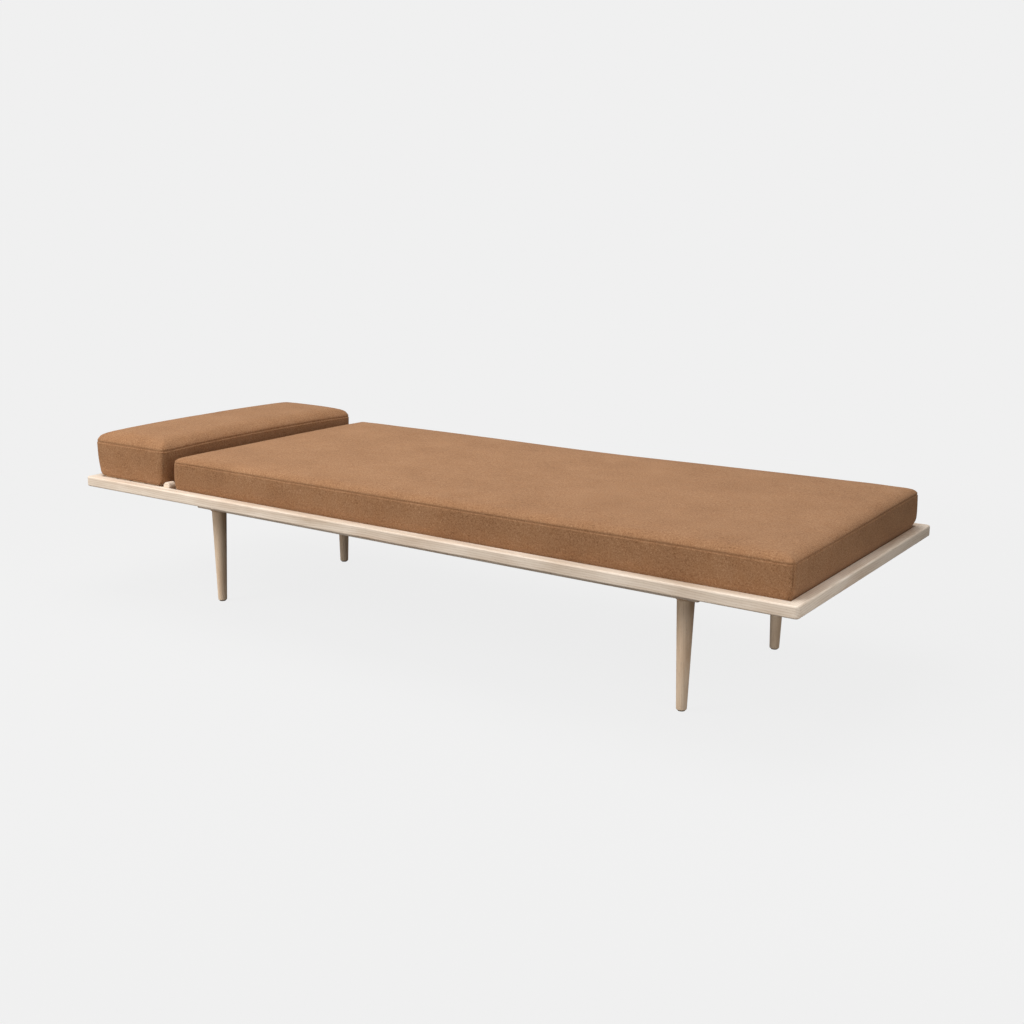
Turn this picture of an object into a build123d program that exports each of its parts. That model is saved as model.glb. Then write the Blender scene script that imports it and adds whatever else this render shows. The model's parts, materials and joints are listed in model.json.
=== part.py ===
"""Daybed with an oak rim frame, four turned legs, a mattress and a propped, tilting headrest.

Millimetres. The origin is on the floor under the middle of the frame, +X runs to the foot
end, -Y is the front long side and +Z is up.
"""

import os
from math import cos, radians

from build123d import *

# ---- Driving dimensions -------------------------------------------------------------------
LENGTH = 2000.0
WIDTH = 800.0
RAIL_BOTTOM = 296.0
RAIL_HEIGHT = 26.0
RAIL_WIDTH = 27.5
RAIL_CORNER_RADIUS = 9.0
RAIL_EDGE_RADIUS = 4.0
RAIL_INNER_RADIUS = 2.0

BEARER_HEIGHT = 48.0
BEARER_WIDTH = 37.0
BEARER_END_X = 731.0
BEARER_Y = 246.0

HEAD_LEG_X = -667.0
FOOT_LEG_X = 694.0
LEG_TOP_RADIUS = 19.0
LEG_FOOT_RADIUS = 11.5
LEG_FLARE = 4.5

SLAT_COUNT = 12
SLAT_WIDTH = 60.0
SLAT_THICKNESS = 12.0
FIRST_SLAT_X = -668.0
LAST_SLAT_X = 935.0
REBATE_DEPTH = 10.0

SEAM_HEIGHT_MATTRESS = 388.0
CROWN_HEIGHT_MATTRESS = 404.0
MATTRESS_HEAD_X = -704.0
MATTRESS_FOOT_X = 971.0
MATTRESS_WIDTH = 742.0
CUSHION_PLAN_RADIUS = 14.0
COVER_THICKNESS = 2.0

HINGE_X = -726.0
PIN_RADIUS = 4.0
RUNNING_CLEARANCE = 0.05
PROP_LENGTH = 115.0

HEADREST_DROP = 3.4
ARM_WIDTH = 24.0
ARM_SIDE_GAP = 1.0
ARM_HEIGHT = 18.0
KNUCKLE_RADIUS = 11.5

# ---- Worked out from the driving dimensions ------------------------------------------------
RAIL_TOP = RAIL_BOTTOM + RAIL_HEIGHT
INNER_X = LENGTH / 2 - RAIL_WIDTH
INNER_Y = WIDTH / 2 - RAIL_WIDTH
BEARER_BOTTOM = RAIL_BOTTOM - BEARER_HEIGHT
SLAT_TOP = RAIL_BOTTOM + SLAT_THICKNESS
SLAT_PITCH = (LAST_SLAT_X - FIRST_SLAT_X) / (SLAT_COUNT - 1)
SLAT_XS = [FIRST_SLAT_X + i * SLAT_PITCH for i in range(SLAT_COUNT)]
SLAT_END_Y = INNER_Y + REBATE_DEPTH
BEARER_SLAT_XS = [x for x in SLAT_XS if abs(x) < BEARER_END_X - SLAT_WIDTH / 2]
PIVOT_Z = RAIL_BOTTOM + RAIL_HEIGHT / 2
PROP_PIVOT_X = HINGE_X - PROP_LENGTH
PROP_FOOT_X = HINGE_X - 2 * PROP_LENGTH
ARM_TOP = RAIL_TOP - HEADREST_DROP
ARM_BOTTOM = ARM_TOP - ARM_HEIGHT
ARM_OUTER_Y = INNER_Y - ARM_SIDE_GAP
ARM_INNER_Y = ARM_OUTER_Y - ARM_WIDTH
LEG_PLACES = {
    "leg_head_front": (HEAD_LEG_X, -BEARER_Y),
    "leg_head_back": (HEAD_LEG_X, BEARER_Y),
    "leg_foot_front": (FOOT_LEG_X, -BEARER_Y),
    "leg_foot_back": (FOOT_LEG_X, BEARER_Y),
}

os.makedirs("parts", exist_ok=True)


def save(part, name):
    """Label a finished piece and write its STEP file."""
    part.label = name
    export_step(part, f"parts/{name}.step")


# ---- Rim frame: four rails mitred at the corners -------------------------------------------
with BuildPart() as rim_ring:
    with BuildSketch(Plane.XY.offset(RAIL_BOTTOM)):
        RectangleRounded(LENGTH, WIDTH, RAIL_CORNER_RADIUS)
        Rectangle(2 * INNER_X, 2 * INNER_Y, mode=Mode.SUBTRACT)
    extrude(amount=RAIL_HEIGHT)
    inner_top_wire = rim_ring.faces().sort_by(Axis.Z)[-1].inner_wires()[0]
    fillet(inner_top_wire.edges(), radius=RAIL_INNER_RADIUS)
    outer_edges = [
        edge
        for face in (rim_ring.faces().sort_by(Axis.Z)[-1], rim_ring.faces().sort_by(Axis.Z)[0])
        for edge in face.outer_wire().edges()
    ]
    fillet(outer_edges, radius=RAIL_EDGE_RADIUS)

# A floating tongue across each mitre, clear of every outside face.
TONGUE_LENGTH = 20.0
TONGUE_WIDTH = 14.0
TONGUE_THICKNESS = 4.0
MITRE_X = LENGTH / 2 - RAIL_WIDTH / 2
MITRE_Y = WIDTH / 2 - RAIL_WIDTH / 2
with BuildPart() as corner_tongues:
    with BuildSketch(Plane.XY.offset(PIVOT_Z - TONGUE_THICKNESS / 2)):
        for side_x in (-1, 1):
            for side_y in (-1, 1):
                with Locations((side_x * MITRE_X, side_y * MITRE_Y)):
                    Rectangle(TONGUE_LENGTH, TONGUE_WIDTH, rotation=-45 * side_x * side_y)
    extrude(amount=TONGUE_THICKNESS)
save(corner_tongues.part, "corner_tongues")

REBATE_START_X = -700.0
SCREW_RADIUS = 2.0
SCREW_HEAD_RADIUS = 4.0
SCREW_HEAD_HEIGHT = 2.5
HEAD_RECESS_RADIUS = 4.5
HEAD_RECESS_DEPTH = 3.0
SCREW_HOLE_RADIUS = SCREW_RADIUS + RUNNING_CLEARANCE
END_SCREW_Y = INNER_Y + REBATE_DEPTH / 2
END_SCREW_COVER = 5.0
END_SCREW_TIP_Z = RAIL_TOP - END_SCREW_COVER
TIP_CLEARANCE = 1.0
PIN_HOLE_DEPTH = 15.0

with BuildPart() as side_rail_front:
    add(rim_ring.part)
    with BuildSketch(Plane.XY.offset(RAIL_BOTTOM)):
        with BuildLine():
            Polyline(
                (-LENGTH / 2, -WIDTH / 2),
                (LENGTH / 2, -WIDTH / 2),
                (INNER_X, -INNER_Y),
                (-INNER_X, -INNER_Y),
                close=True,
            )
        make_face()
    extrude(amount=RAIL_HEIGHT, mode=Mode.INTERSECT)
    with BuildSketch(Plane.XY.offset(RAIL_BOTTOM)):
        with Locations(((INNER_X + REBATE_START_X) / 2, -INNER_Y - REBATE_DEPTH / 2)):
            Rectangle(INNER_X - REBATE_START_X, REBATE_DEPTH)
    extrude(amount=SLAT_THICKNESS, mode=Mode.SUBTRACT)
    with Locations(*[(x, -END_SCREW_Y, SLAT_TOP) for x in SLAT_XS]):
        Cylinder(
            SCREW_HOLE_RADIUS,
            END_SCREW_TIP_Z - SLAT_TOP + TIP_CLEARANCE,
            align=(Align.CENTER, Align.CENTER, Align.MIN),
            mode=Mode.SUBTRACT,
        )
    with BuildSketch(Plane.XZ.offset(INNER_Y)):
        with Locations((HINGE_X, PIVOT_Z)):
            Circle(PIN_RADIUS)
    extrude(amount=PIN_HOLE_DEPTH, mode=Mode.SUBTRACT)
    add(corner_tongues.part, mode=Mode.SUBTRACT)
save(side_rail_front.part, "side_rail_front")

with BuildPart() as side_rail_back:
    mirror(side_rail_front.part, about=Plane.XZ)
save(side_rail_back.part, "side_rail_back")

# The racks are screwed up into the head rail from below.
RACK_Y = 200.0
RACK_WIDTH = 18.0
RACK_TONGUE_LENGTH = 20.0
RACK_SCREW_X = -INNER_X - RACK_TONGUE_LENGTH / 2
RACK_SCREW_DEPTH = 16.0

with BuildPart() as end_rail_foot:
    add(rim_ring.part)
    with BuildSketch(Plane.XY.offset(RAIL_BOTTOM)):
        with BuildLine():
            Polyline(
                (LENGTH / 2, -WIDTH / 2),
                (LENGTH / 2, WIDTH / 2),
                (INNER_X, INNER_Y),
                (INNER_X, -INNER_Y),
                close=True,
            )
        make_face()
    extrude(amount=RAIL_HEIGHT, mode=Mode.INTERSECT)
    add(corner_tongues.part, mode=Mode.SUBTRACT)
save(end_rail_foot.part, "end_rail_foot")

with BuildPart() as end_rail_head:
    mirror(end_rail_foot.part, about=Plane.YZ)
    with Locations((RACK_SCREW_X, -RACK_Y, RAIL_BOTTOM), (RACK_SCREW_X, RACK_Y, RAIL_BOTTOM)):
        Cylinder(
            SCREW_HOLE_RADIUS,
            RACK_SCREW_DEPTH,
            align=(Align.CENTER, Align.CENTER, Align.MIN),
            mode=Mode.SUBTRACT,
        )
save(end_rail_head.part, "end_rail_head")

# ---- Undercarriage: two long bearers and two cross rails -----------------------------------
CROSS_RAIL_THICKNESS = 22.0
CROSS_RAIL_HEIGHT = 34.0
CROSS_TENON_LENGTH = 12.0
CROSS_TENON_THICKNESS = 10.0
CROSS_TENON_HEIGHT = 24.0
CROSS_HEAD_X = -BEARER_END_X + CROSS_RAIL_THICKNESS / 2
CROSS_FOOT_X = BEARER_END_X - CROSS_RAIL_THICKNESS / 2
CROSS_MID_Z = RAIL_BOTTOM - CROSS_RAIL_HEIGHT / 2
CROSS_SPAN = 2 * BEARER_Y - BEARER_WIDTH
INSERT_RADIUS = 6.0
INSERT_LENGTH = 20.0
BOLT_RADIUS = 4.0
BOLT_DEPTH_IN_LEG = 38.0
BOLT_DEPTH_IN_BEARER = 18.0
BEARER_SCREW_LENGTH = 26.0
BEARER_HOLE_DEPTH = 20.5
BEARER_END_RADIUS = 5.0
BEARER_EDGE_RADIUS = 2.5
CROSS_RAIL_CHAMFER = 2.0
RACK_BACK_SCREW_LENGTH = 20.0


def cross_rail(x):
    """A rail between the two long bearers, with a tenon at each end."""
    with BuildPart() as rail:
        with Locations((x, 0, CROSS_MID_Z)):
            Box(CROSS_RAIL_THICKNESS, CROSS_SPAN, CROSS_RAIL_HEIGHT)
        chamfer(rail.edges().filter_by(Axis.Y).group_by(Axis.Z)[0], length=CROSS_RAIL_CHAMFER)
        with Locations((x, 0, CROSS_MID_Z)):
            Box(CROSS_TENON_THICKNESS, CROSS_SPAN + 2 * CROSS_TENON_LENGTH, CROSS_TENON_HEIGHT)
    return rail.part


cross_rails = {
    "cross_rail_head": cross_rail(CROSS_HEAD_X),
    "cross_rail_foot": cross_rail(CROSS_FOOT_X),
}

with BuildPart() as long_bearer_front:
    with Locations((0, -BEARER_Y, RAIL_BOTTOM - BEARER_HEIGHT / 2)):
        Box(2 * BEARER_END_X, BEARER_WIDTH, BEARER_HEIGHT)
    fillet(long_bearer_front.edges().filter_by(Axis.Z), radius=BEARER_END_RADIUS)
    fillet(long_bearer_front.faces().sort_by(Axis.Z)[0].edges(), radius=BEARER_EDGE_RADIUS)
    with Locations(*[(x, -BEARER_Y, RAIL_BOTTOM) for x in BEARER_SLAT_XS]):
        Hole(SCREW_HOLE_RADIUS, depth=BEARER_HOLE_DEPTH)
    with Locations(*[(x, -BEARER_Y, BEARER_BOTTOM) for x in (HEAD_LEG_X, FOOT_LEG_X)]):
        Cylinder(
            INSERT_RADIUS,
            INSERT_LENGTH,
            align=(Align.CENTER, Align.CENTER, Align.MIN),
            mode=Mode.SUBTRACT,
        )
    for rail in cross_rails.values():
        add(rail, mode=Mode.SUBTRACT)
save(long_bearer_front.part, "long_bearer_front")

with BuildPart() as long_bearer_back:
    mirror(long_bearer_front.part, about=Plane.XZ)
save(long_bearer_back.part, "long_bearer_back")

with BuildPart() as cross_rail_head:
    add(cross_rails["cross_rail_head"])
    with Locations((CROSS_HEAD_X, -RACK_Y, RAIL_BOTTOM), (CROSS_HEAD_X, RACK_Y, RAIL_BOTTOM)):
        Hole(SCREW_HOLE_RADIUS, depth=RACK_BACK_SCREW_LENGTH)
save(cross_rail_head.part, "cross_rail_head")
save(cross_rails["cross_rail_foot"], "cross_rail_foot")

# ---- Bed slats -----------------------------------------------------------------------------
SLAT_EDGE_RADIUS = 3.0

for number, slat_x in enumerate(SLAT_XS, start=1):
    with BuildPart() as bed_slat:
        with Locations((slat_x, 0, RAIL_BOTTOM + SLAT_THICKNESS / 2)):
            Box(SLAT_WIDTH, 2 * SLAT_END_Y, SLAT_THICKNESS)
        slat_top_edges = bed_slat.faces().sort_by(Axis.Z)[-1].edges().filter_by(Axis.Y)
        fillet(slat_top_edges, radius=SLAT_EDGE_RADIUS)
        if slat_x in BEARER_SLAT_XS:
            with Locations((slat_x, -BEARER_Y, SLAT_TOP), (slat_x, BEARER_Y, SLAT_TOP)):
                CounterBoreHole(SCREW_HOLE_RADIUS, HEAD_RECESS_RADIUS, HEAD_RECESS_DEPTH)
        for side in (-1, 1):
            underside = Plane(origin=(slat_x, side * END_SCREW_Y, RAIL_BOTTOM), z_dir=(0, 0, -1))
            with Locations(underside):
                CounterBoreHole(SCREW_HOLE_RADIUS, HEAD_RECESS_RADIUS, HEAD_RECESS_DEPTH)
    save(bed_slat.part, f"bed_slat_{number:02d}")


def screws(places, length, pointing_up=False):
    """A group of equal pan-head screws; each place is the middle of the head's underside."""
    direction = (0, 0, -1) if pointing_up else (0, 0, 1)
    with BuildPart() as group:
        for place in places:
            with Locations(Plane(origin=place, z_dir=direction)):
                Cylinder(
                    SCREW_HEAD_RADIUS,
                    SCREW_HEAD_HEIGHT,
                    align=(Align.CENTER, Align.CENTER, Align.MIN),
                )
                Cylinder(SCREW_RADIUS, length, align=(Align.CENTER, Align.CENTER, Align.MAX))
    return group.part


SEAT_Z = SLAT_TOP - HEAD_RECESS_DEPTH
bearer_places = [(x, y, SEAT_Z) for x in BEARER_SLAT_XS for y in (-BEARER_Y, BEARER_Y)]
save(screws(bearer_places, BEARER_SCREW_LENGTH), "slat_bearer_screws")
UNDER_SEAT_Z = RAIL_BOTTOM + HEAD_RECESS_DEPTH
end_places = [(x, y, UNDER_SEAT_Z) for x in SLAT_XS for y in (-END_SCREW_Y, END_SCREW_Y)]
save(screws(end_places, END_SCREW_TIP_Z - UNDER_SEAT_Z, pointing_up=True), "slat_end_screws")

# ---- Turned legs with their bolts, inserts and glides --------------------------------------
GLIDE_THICKNESS = 2.0
GLIDE_RADIUS = 8.5
GLIDE_EDGE_RADIUS = 0.8
FOOT_EDGE_RADIUS = 3.0
FLARE_RIM_RADIUS = LEG_TOP_RADIUS + LEG_FLARE - 1.0
FLARE_RIM_HEIGHT = 0.5
FLARE_TANGENTS = [(-1, -0.15), (-0.03, -1)]
BOLT_CHAMFER = 0.8


def turned_leg(x, y):
    """A tapered leg with a small flare at the top and a rounded foot, drilled for its bolt."""
    flare_start = BEARER_BOTTOM - LEG_FLARE
    with BuildPart() as leg:
        with BuildSketch(Plane.XZ):
            with BuildLine():
                Polyline(
                    (LEG_TOP_RADIUS, flare_start),
                    (LEG_FOOT_RADIUS, GLIDE_THICKNESS),
                    (0, GLIDE_THICKNESS),
                    (0, BEARER_BOTTOM),
                    (FLARE_RIM_RADIUS, BEARER_BOTTOM),
                    (FLARE_RIM_RADIUS, BEARER_BOTTOM - FLARE_RIM_HEIGHT),
                )
                Spline(
                    (FLARE_RIM_RADIUS, BEARER_BOTTOM - FLARE_RIM_HEIGHT),
                    (LEG_TOP_RADIUS, flare_start),
                    tangents=FLARE_TANGENTS,
                )
            make_face()
        revolve(axis=Axis.Z)
        fillet(leg.edges().group_by(Axis.Z)[0], radius=FOOT_EDGE_RADIUS)
        with Locations((0, 0, BEARER_BOTTOM)):
            Hole(BOLT_RADIUS + RUNNING_CLEARANCE, depth=BOLT_DEPTH_IN_LEG + TIP_CLEARANCE)
    return leg.part.moved(Location((x, y, 0)))


for leg_name, (leg_x, leg_y) in LEG_PLACES.items():
    save(turned_leg(leg_x, leg_y), leg_name)

with BuildPart() as leg_bolts:
    with Locations(*[(x, y, BEARER_BOTTOM - BOLT_DEPTH_IN_LEG) for x, y in LEG_PLACES.values()]):
        Cylinder(
            BOLT_RADIUS,
            BOLT_DEPTH_IN_LEG + BOLT_DEPTH_IN_BEARER,
            align=(Align.CENTER, Align.CENTER, Align.MIN),
        )
    chamfer(leg_bolts.edges().filter_by(GeomType.CIRCLE), length=BOLT_CHAMFER)
save(leg_bolts.part, "leg_hanger_bolts")

with BuildPart() as leg_inserts:
    with Locations(*[(x, y, BEARER_BOTTOM) for x, y in LEG_PLACES.values()]):
        Cylinder(INSERT_RADIUS, INSERT_LENGTH, align=(Align.CENTER, Align.CENTER, Align.MIN))
        Cylinder(
            BOLT_RADIUS + RUNNING_CLEARANCE,
            INSERT_LENGTH,
            align=(Align.CENTER, Align.CENTER, Align.MIN),
            mode=Mode.SUBTRACT,
        )
save(leg_inserts.part, "leg_threaded_inserts")

with BuildPart() as leg_glides:
    with Locations(*[(x, y, 0) for x, y in LEG_PLACES.values()]):
        Cylinder(GLIDE_RADIUS, GLIDE_THICKNESS, align=(Align.CENTER, Align.CENTER, Align.MIN))
    fillet(leg_glides.edges().group_by(Axis.Z)[0], radius=GLIDE_EDGE_RADIUS)
save(leg_glides.part, "leg_glides")

# ---- Headrest frame ------------------------------------------------------------------------
BOSS_RADIUS = 12.0
ARM_HEAD_X = -966.0
ARM_END_RADIUS = 4.0
KNUCKLE_EDGE_RADIUS = 3.0
BUSH_WALL = 1.5
BUSH_FLANGE_RADIUS = 8.0
BUSH_FLANGE_THICKNESS = 0.8
BUSH_LENGTH = 18.0
STRETCHER_WIDTH = 22.0
STRETCHER_HEIGHT = 16.0
HINGE_STRETCHER_X = -754.0
HEAD_STRETCHER_X = -894.5
STRETCHER_TENON_LENGTH = 10.0
STRETCHER_TENON_WIDTH = 14.0
STRETCHER_TENON_HEIGHT = 10.0
HEADREST_SLAT_THICKNESS = 6.0
HEADREST_SLAT_WIDTH = 44.0
HEADREST_SLAT_EDGE_RADIUS = 1.5
HEADREST_SLAT_XS = [-948.0, HEAD_STRETCHER_X, PROP_PIVOT_X, -785.0]
HEADREST_SCREW_XS = [-957.0, HEAD_STRETCHER_X + STRETCHER_TENON_WIDTH, PROP_PIVOT_X, -785.0]
HEADREST_SLAT_LAP = 13.5
HEADREST_SLAT_END_Y = ARM_INNER_Y + HEADREST_SLAT_LAP
HEADREST_SCREW_Y = ARM_INNER_Y + HEADREST_SLAT_LAP / 2
HEADREST_SCREW_LENGTH = 15.0
HEADREST_HOLE_DEPTH = 15.0
KNUCKLE_CENTRE = (HINGE_X + 2.0, RAIL_TOP + 1.5)


def headrest_stretcher(x):
    """A cross member between the two arms, with a tenon at each end."""
    span = 2 * ARM_INNER_Y
    with BuildPart() as stretcher:
        with Locations((x, 0, ARM_TOP - STRETCHER_HEIGHT / 2)):
            Box(STRETCHER_WIDTH, span, STRETCHER_HEIGHT)
            Box(
                STRETCHER_TENON_WIDTH,
                span + 2 * STRETCHER_TENON_LENGTH,
                STRETCHER_TENON_HEIGHT,
            )
    return stretcher.part


stretchers = {
    "headrest_stretcher_head": headrest_stretcher(HEAD_STRETCHER_X),
    "headrest_stretcher_hinge": headrest_stretcher(HINGE_STRETCHER_X),
}

with BuildPart() as headrest_arm_front:
    with BuildSketch(Plane.XZ.offset(ARM_INNER_Y)):
        with Locations(((ARM_HEAD_X + HINGE_X) / 2, ARM_TOP - ARM_HEIGHT / 2)):
            Rectangle(HINGE_X - ARM_HEAD_X, ARM_HEIGHT)
        with Locations((HINGE_X, PIVOT_Z)):
            Circle(BOSS_RADIUS)
        with Locations(KNUCKLE_CENTRE):
            Circle(KNUCKLE_RADIUS)
    extrude(amount=ARM_WIDTH)
    arm_end_edges = headrest_arm_front.faces().sort_by(Axis.X)[0].edges().filter_by(Axis.Y)
    fillet(arm_end_edges, radius=ARM_END_RADIUS)
    knuckle_faces = headrest_arm_front.faces().filter_by(GeomType.CYLINDER)
    knuckle_rim = [
        edge
        for edge in knuckle_faces.sort_by(Axis.Z)[-1].edges()
        if edge.geom_type == GeomType.CIRCLE
    ]
    fillet(knuckle_rim, radius=KNUCKLE_EDGE_RADIUS)
    with BuildSketch(Plane.XZ.offset(ARM_INNER_Y)):
        with Locations((HINGE_X, PIVOT_Z)):
            Circle(PIN_RADIUS + BUSH_WALL)
    extrude(amount=ARM_WIDTH, mode=Mode.SUBTRACT)
    with Locations(*[(x, -HEADREST_SCREW_Y, ARM_TOP) for x in HEADREST_SCREW_XS]):
        Hole(SCREW_HOLE_RADIUS, depth=HEADREST_HOLE_DEPTH)
    for stretcher in stretchers.values():
        add(stretcher, mode=Mode.SUBTRACT)
save(headrest_arm_front.part, "headrest_arm_front")

with BuildPart() as headrest_arm_back:
    mirror(headrest_arm_front.part, about=Plane.XZ)
save(headrest_arm_back.part, "headrest_arm_back")

with BuildPart() as headrest_stretcher_hinge:
    add(stretchers["headrest_stretcher_hinge"])
save(headrest_stretcher_hinge.part, "headrest_stretcher_hinge")

# The stretcher nearer the head end is notched over the two prop arms.
PROP_ARM_Y = 178.0
PROP_ARM_WIDTH = 13.0
PROP_ARM_HEIGHT = 12.0
PROP_NOTCH_GAP = 0.7
PROP_NOTCH_WIDTH = PROP_ARM_WIDTH + 4.0
PROP_NOTCH_TOP = PIVOT_Z + PROP_ARM_HEIGHT / 2 + PROP_NOTCH_GAP
with BuildPart() as headrest_stretcher_head:
    add(stretchers["headrest_stretcher_head"])
    with Locations(*[(HEAD_STRETCHER_X, side * PROP_ARM_Y, PROP_NOTCH_TOP) for side in (-1, 1)]):
        Box(
            STRETCHER_WIDTH,
            PROP_NOTCH_WIDTH,
            STRETCHER_HEIGHT,
            align=(Align.CENTER, Align.CENTER, Align.MAX),
            mode=Mode.SUBTRACT,
        )
save(headrest_stretcher_head.part, "headrest_stretcher_head")

# ---- Headrest slats, and the two blocks that carry the prop --------------------------------
HANGER_Y = 158.0
HANGER_WIDTH = 16.0
HANGER_LENGTH = 34.0
HANGER_HEIGHT = 18.5
HANGER_FOOT_RADIUS = 8.0
HANGER_BOTTOM = ARM_TOP - HANGER_HEIGHT
HANGER_SCREW_SPREAD = 11.0
hanger_places = [
    (PROP_PIVOT_X + offset, side * HANGER_Y)
    for side in (-1, 1)
    for offset in (-HANGER_SCREW_SPREAD, HANGER_SCREW_SPREAD)
]
slat_screw_places = [
    [(screw_x, side * HEADREST_SCREW_Y) for side in (-1, 1)] for screw_x in HEADREST_SCREW_XS
]
slat_screw_places[HEADREST_SLAT_XS.index(PROP_PIVOT_X)] += hanger_places
HEADREST_TOP = ARM_TOP + HEADREST_SLAT_THICKNESS
HEADREST_RECESS = 2.8

for number, (slat_x, places) in enumerate(zip(HEADREST_SLAT_XS, slat_screw_places), start=1):
    with BuildPart() as headrest_slat:
        with Locations((slat_x, 0, ARM_TOP + HEADREST_SLAT_THICKNESS / 2)):
            Box(HEADREST_SLAT_WIDTH, 2 * HEADREST_SLAT_END_Y, HEADREST_SLAT_THICKNESS)
        slat_top_edges = headrest_slat.faces().sort_by(Axis.Z)[-1].edges().filter_by(Axis.Y)
        fillet(slat_top_edges, radius=HEADREST_SLAT_EDGE_RADIUS)
        with Locations(*[(x, y, HEADREST_TOP) for x, y in places]):
            CounterBoreHole(SCREW_HOLE_RADIUS, HEAD_RECESS_RADIUS, HEADREST_RECESS)
    save(headrest_slat.part, f"headrest_slat_{number}")

headrest_screw_places = [
    (x, y, HEADREST_TOP - HEADREST_RECESS)
    for places in slat_screw_places
    for x, y in places
]
save(screws(headrest_screw_places, HEADREST_SCREW_LENGTH), "headrest_screws")

with BuildPart() as prop_hanger_front:
    with Locations((PROP_PIVOT_X, -HANGER_Y, (HANGER_BOTTOM + ARM_TOP) / 2)):
        Box(HANGER_LENGTH, HANGER_WIDTH, HANGER_HEIGHT)
    hanger_foot = prop_hanger_front.faces().sort_by(Axis.Z)[0].edges().filter_by(Axis.Y)
    fillet(hanger_foot, radius=HANGER_FOOT_RADIUS)
    with BuildSketch(Plane.XZ.offset(HANGER_Y - HANGER_WIDTH / 2)):
        with Locations((PROP_PIVOT_X, PIVOT_Z)):
            Circle(PIN_RADIUS)
    extrude(amount=HANGER_WIDTH, mode=Mode.SUBTRACT)
    with Locations(*[(x, y, ARM_TOP) for x, y in hanger_places if y < 0]):
        Hole(SCREW_HOLE_RADIUS, depth=HEADREST_HOLE_DEPTH)
save(prop_hanger_front.part, "prop_hanger_front")

with BuildPart() as prop_hanger_back:
    mirror(prop_hanger_front.part, about=Plane.XZ)
save(prop_hanger_back.part, "prop_hanger_back")


def rod_along_y(x, low_y, high_y, radius, end_chamfer=0.6):
    """A round rod at pivot height, lying across the daybed."""
    with BuildPart() as rod:
        with BuildSketch(Plane.XZ.offset(-low_y)):
            with Locations((x, PIVOT_Z)):
                Circle(radius)
        extrude(amount=-(high_y - low_y))
        chamfer(rod.edges().filter_by(GeomType.CIRCLE), length=end_chamfer)
    return rod.part


# ---- Hinge pins in the side rails, and flanged bushes in the arms --------------------------
PIN_INSET = 2.0
PIN_END_Y = INNER_Y + PIN_HOLE_DEPTH - TIP_CLEARANCE
PIN_TIP_Y = ARM_INNER_Y + PIN_INSET
with BuildPart() as hinge_pins:
    add(rod_along_y(HINGE_X, -PIN_END_Y, -PIN_TIP_Y, PIN_RADIUS))
    add(rod_along_y(HINGE_X, PIN_TIP_Y, PIN_END_Y, PIN_RADIUS))
save(hinge_pins.part, "hinge_pins")

with BuildPart() as hinge_bushes:
    with BuildSketch(Plane.XZ.offset(ARM_OUTER_Y - BUSH_LENGTH)):
        with Locations((HINGE_X, PIVOT_Z)):
            Circle(PIN_RADIUS + BUSH_WALL)
    extrude(amount=BUSH_LENGTH)
    with BuildSketch(Plane.XZ.offset(ARM_OUTER_Y)):
        with Locations((HINGE_X, PIVOT_Z)):
            Circle(BUSH_FLANGE_RADIUS)
    extrude(amount=BUSH_FLANGE_THICKNESS)
    with BuildSketch(Plane.XZ.offset(ARM_OUTER_Y - BUSH_LENGTH)):
        with Locations((HINGE_X, PIVOT_Z)):
            Circle(PIN_RADIUS + RUNNING_CLEARANCE)
    extrude(amount=BUSH_LENGTH + BUSH_FLANGE_THICKNESS, mode=Mode.SUBTRACT)
    mirror(about=Plane.XZ)
save(hinge_bushes.part, "hinge_bushes")

# ---- Prop stay: two arms, a pivot rod in the hangers and a foot rod over the racks ---------
PROP_EYE_RADIUS = 8.0
PIVOT_ROD_END_Y = 190.0
FOOT_ROD_END_Y = 215.0
save(rod_along_y(PROP_PIVOT_X, -PIVOT_ROD_END_Y, PIVOT_ROD_END_Y, PIN_RADIUS), "prop_pivot_rod")
save(rod_along_y(PROP_FOOT_X, -FOOT_ROD_END_Y, FOOT_ROD_END_Y, PIN_RADIUS), "prop_foot_rod")

with BuildPart() as prop_arm_front:
    with BuildSketch(Plane.XZ.offset(PROP_ARM_Y - PROP_ARM_WIDTH / 2)):
        with Locations(((PROP_PIVOT_X + PROP_FOOT_X) / 2, PIVOT_Z)):
            Rectangle(PROP_LENGTH, PROP_ARM_HEIGHT)
        with Locations((PROP_PIVOT_X, PIVOT_Z), (PROP_FOOT_X, PIVOT_Z)):
            Circle(PROP_EYE_RADIUS)
        with Locations((PROP_PIVOT_X, PIVOT_Z)):
            Circle(PIN_RADIUS + RUNNING_CLEARANCE, mode=Mode.SUBTRACT)
        with Locations((PROP_FOOT_X, PIVOT_Z)):
            Circle(PIN_RADIUS, mode=Mode.SUBTRACT)
    extrude(amount=PROP_ARM_WIDTH)
save(prop_arm_front.part, "prop_arm_front")

with BuildPart() as prop_arm_back:
    mirror(prop_arm_front.part, about=Plane.XZ)
save(prop_arm_back.part, "prop_arm_back")

# ---- Notched racks that the foot rod travels over ------------------------------------------
RACK_BOTTOM = 282.0
RACK_BACK_TOP = 300.0
ROD_RACK_GAP = 0.5
TOOTH_TIP_Z = PIVOT_Z - PIN_RADIUS - ROD_RACK_GAP
NOTCH_DEPTH = 6.0
NOTCH_CLEARANCE = 0.3
NOTCH_RADIUS = PIN_RADIUS + NOTCH_CLEARANCE
NOTCH_RAMP = 2.0
TILT_STEPS = [16.0, 28.0]
NOTCH_XS = [HINGE_X - 2 * PROP_LENGTH * cos(radians(angle)) for angle in TILT_STEPS]
RACK_LAND = 12.0
TOOTHED_FOOT_X = NOTCH_XS[-1] + RACK_LAND
RACK_GAP = 0.2

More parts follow.
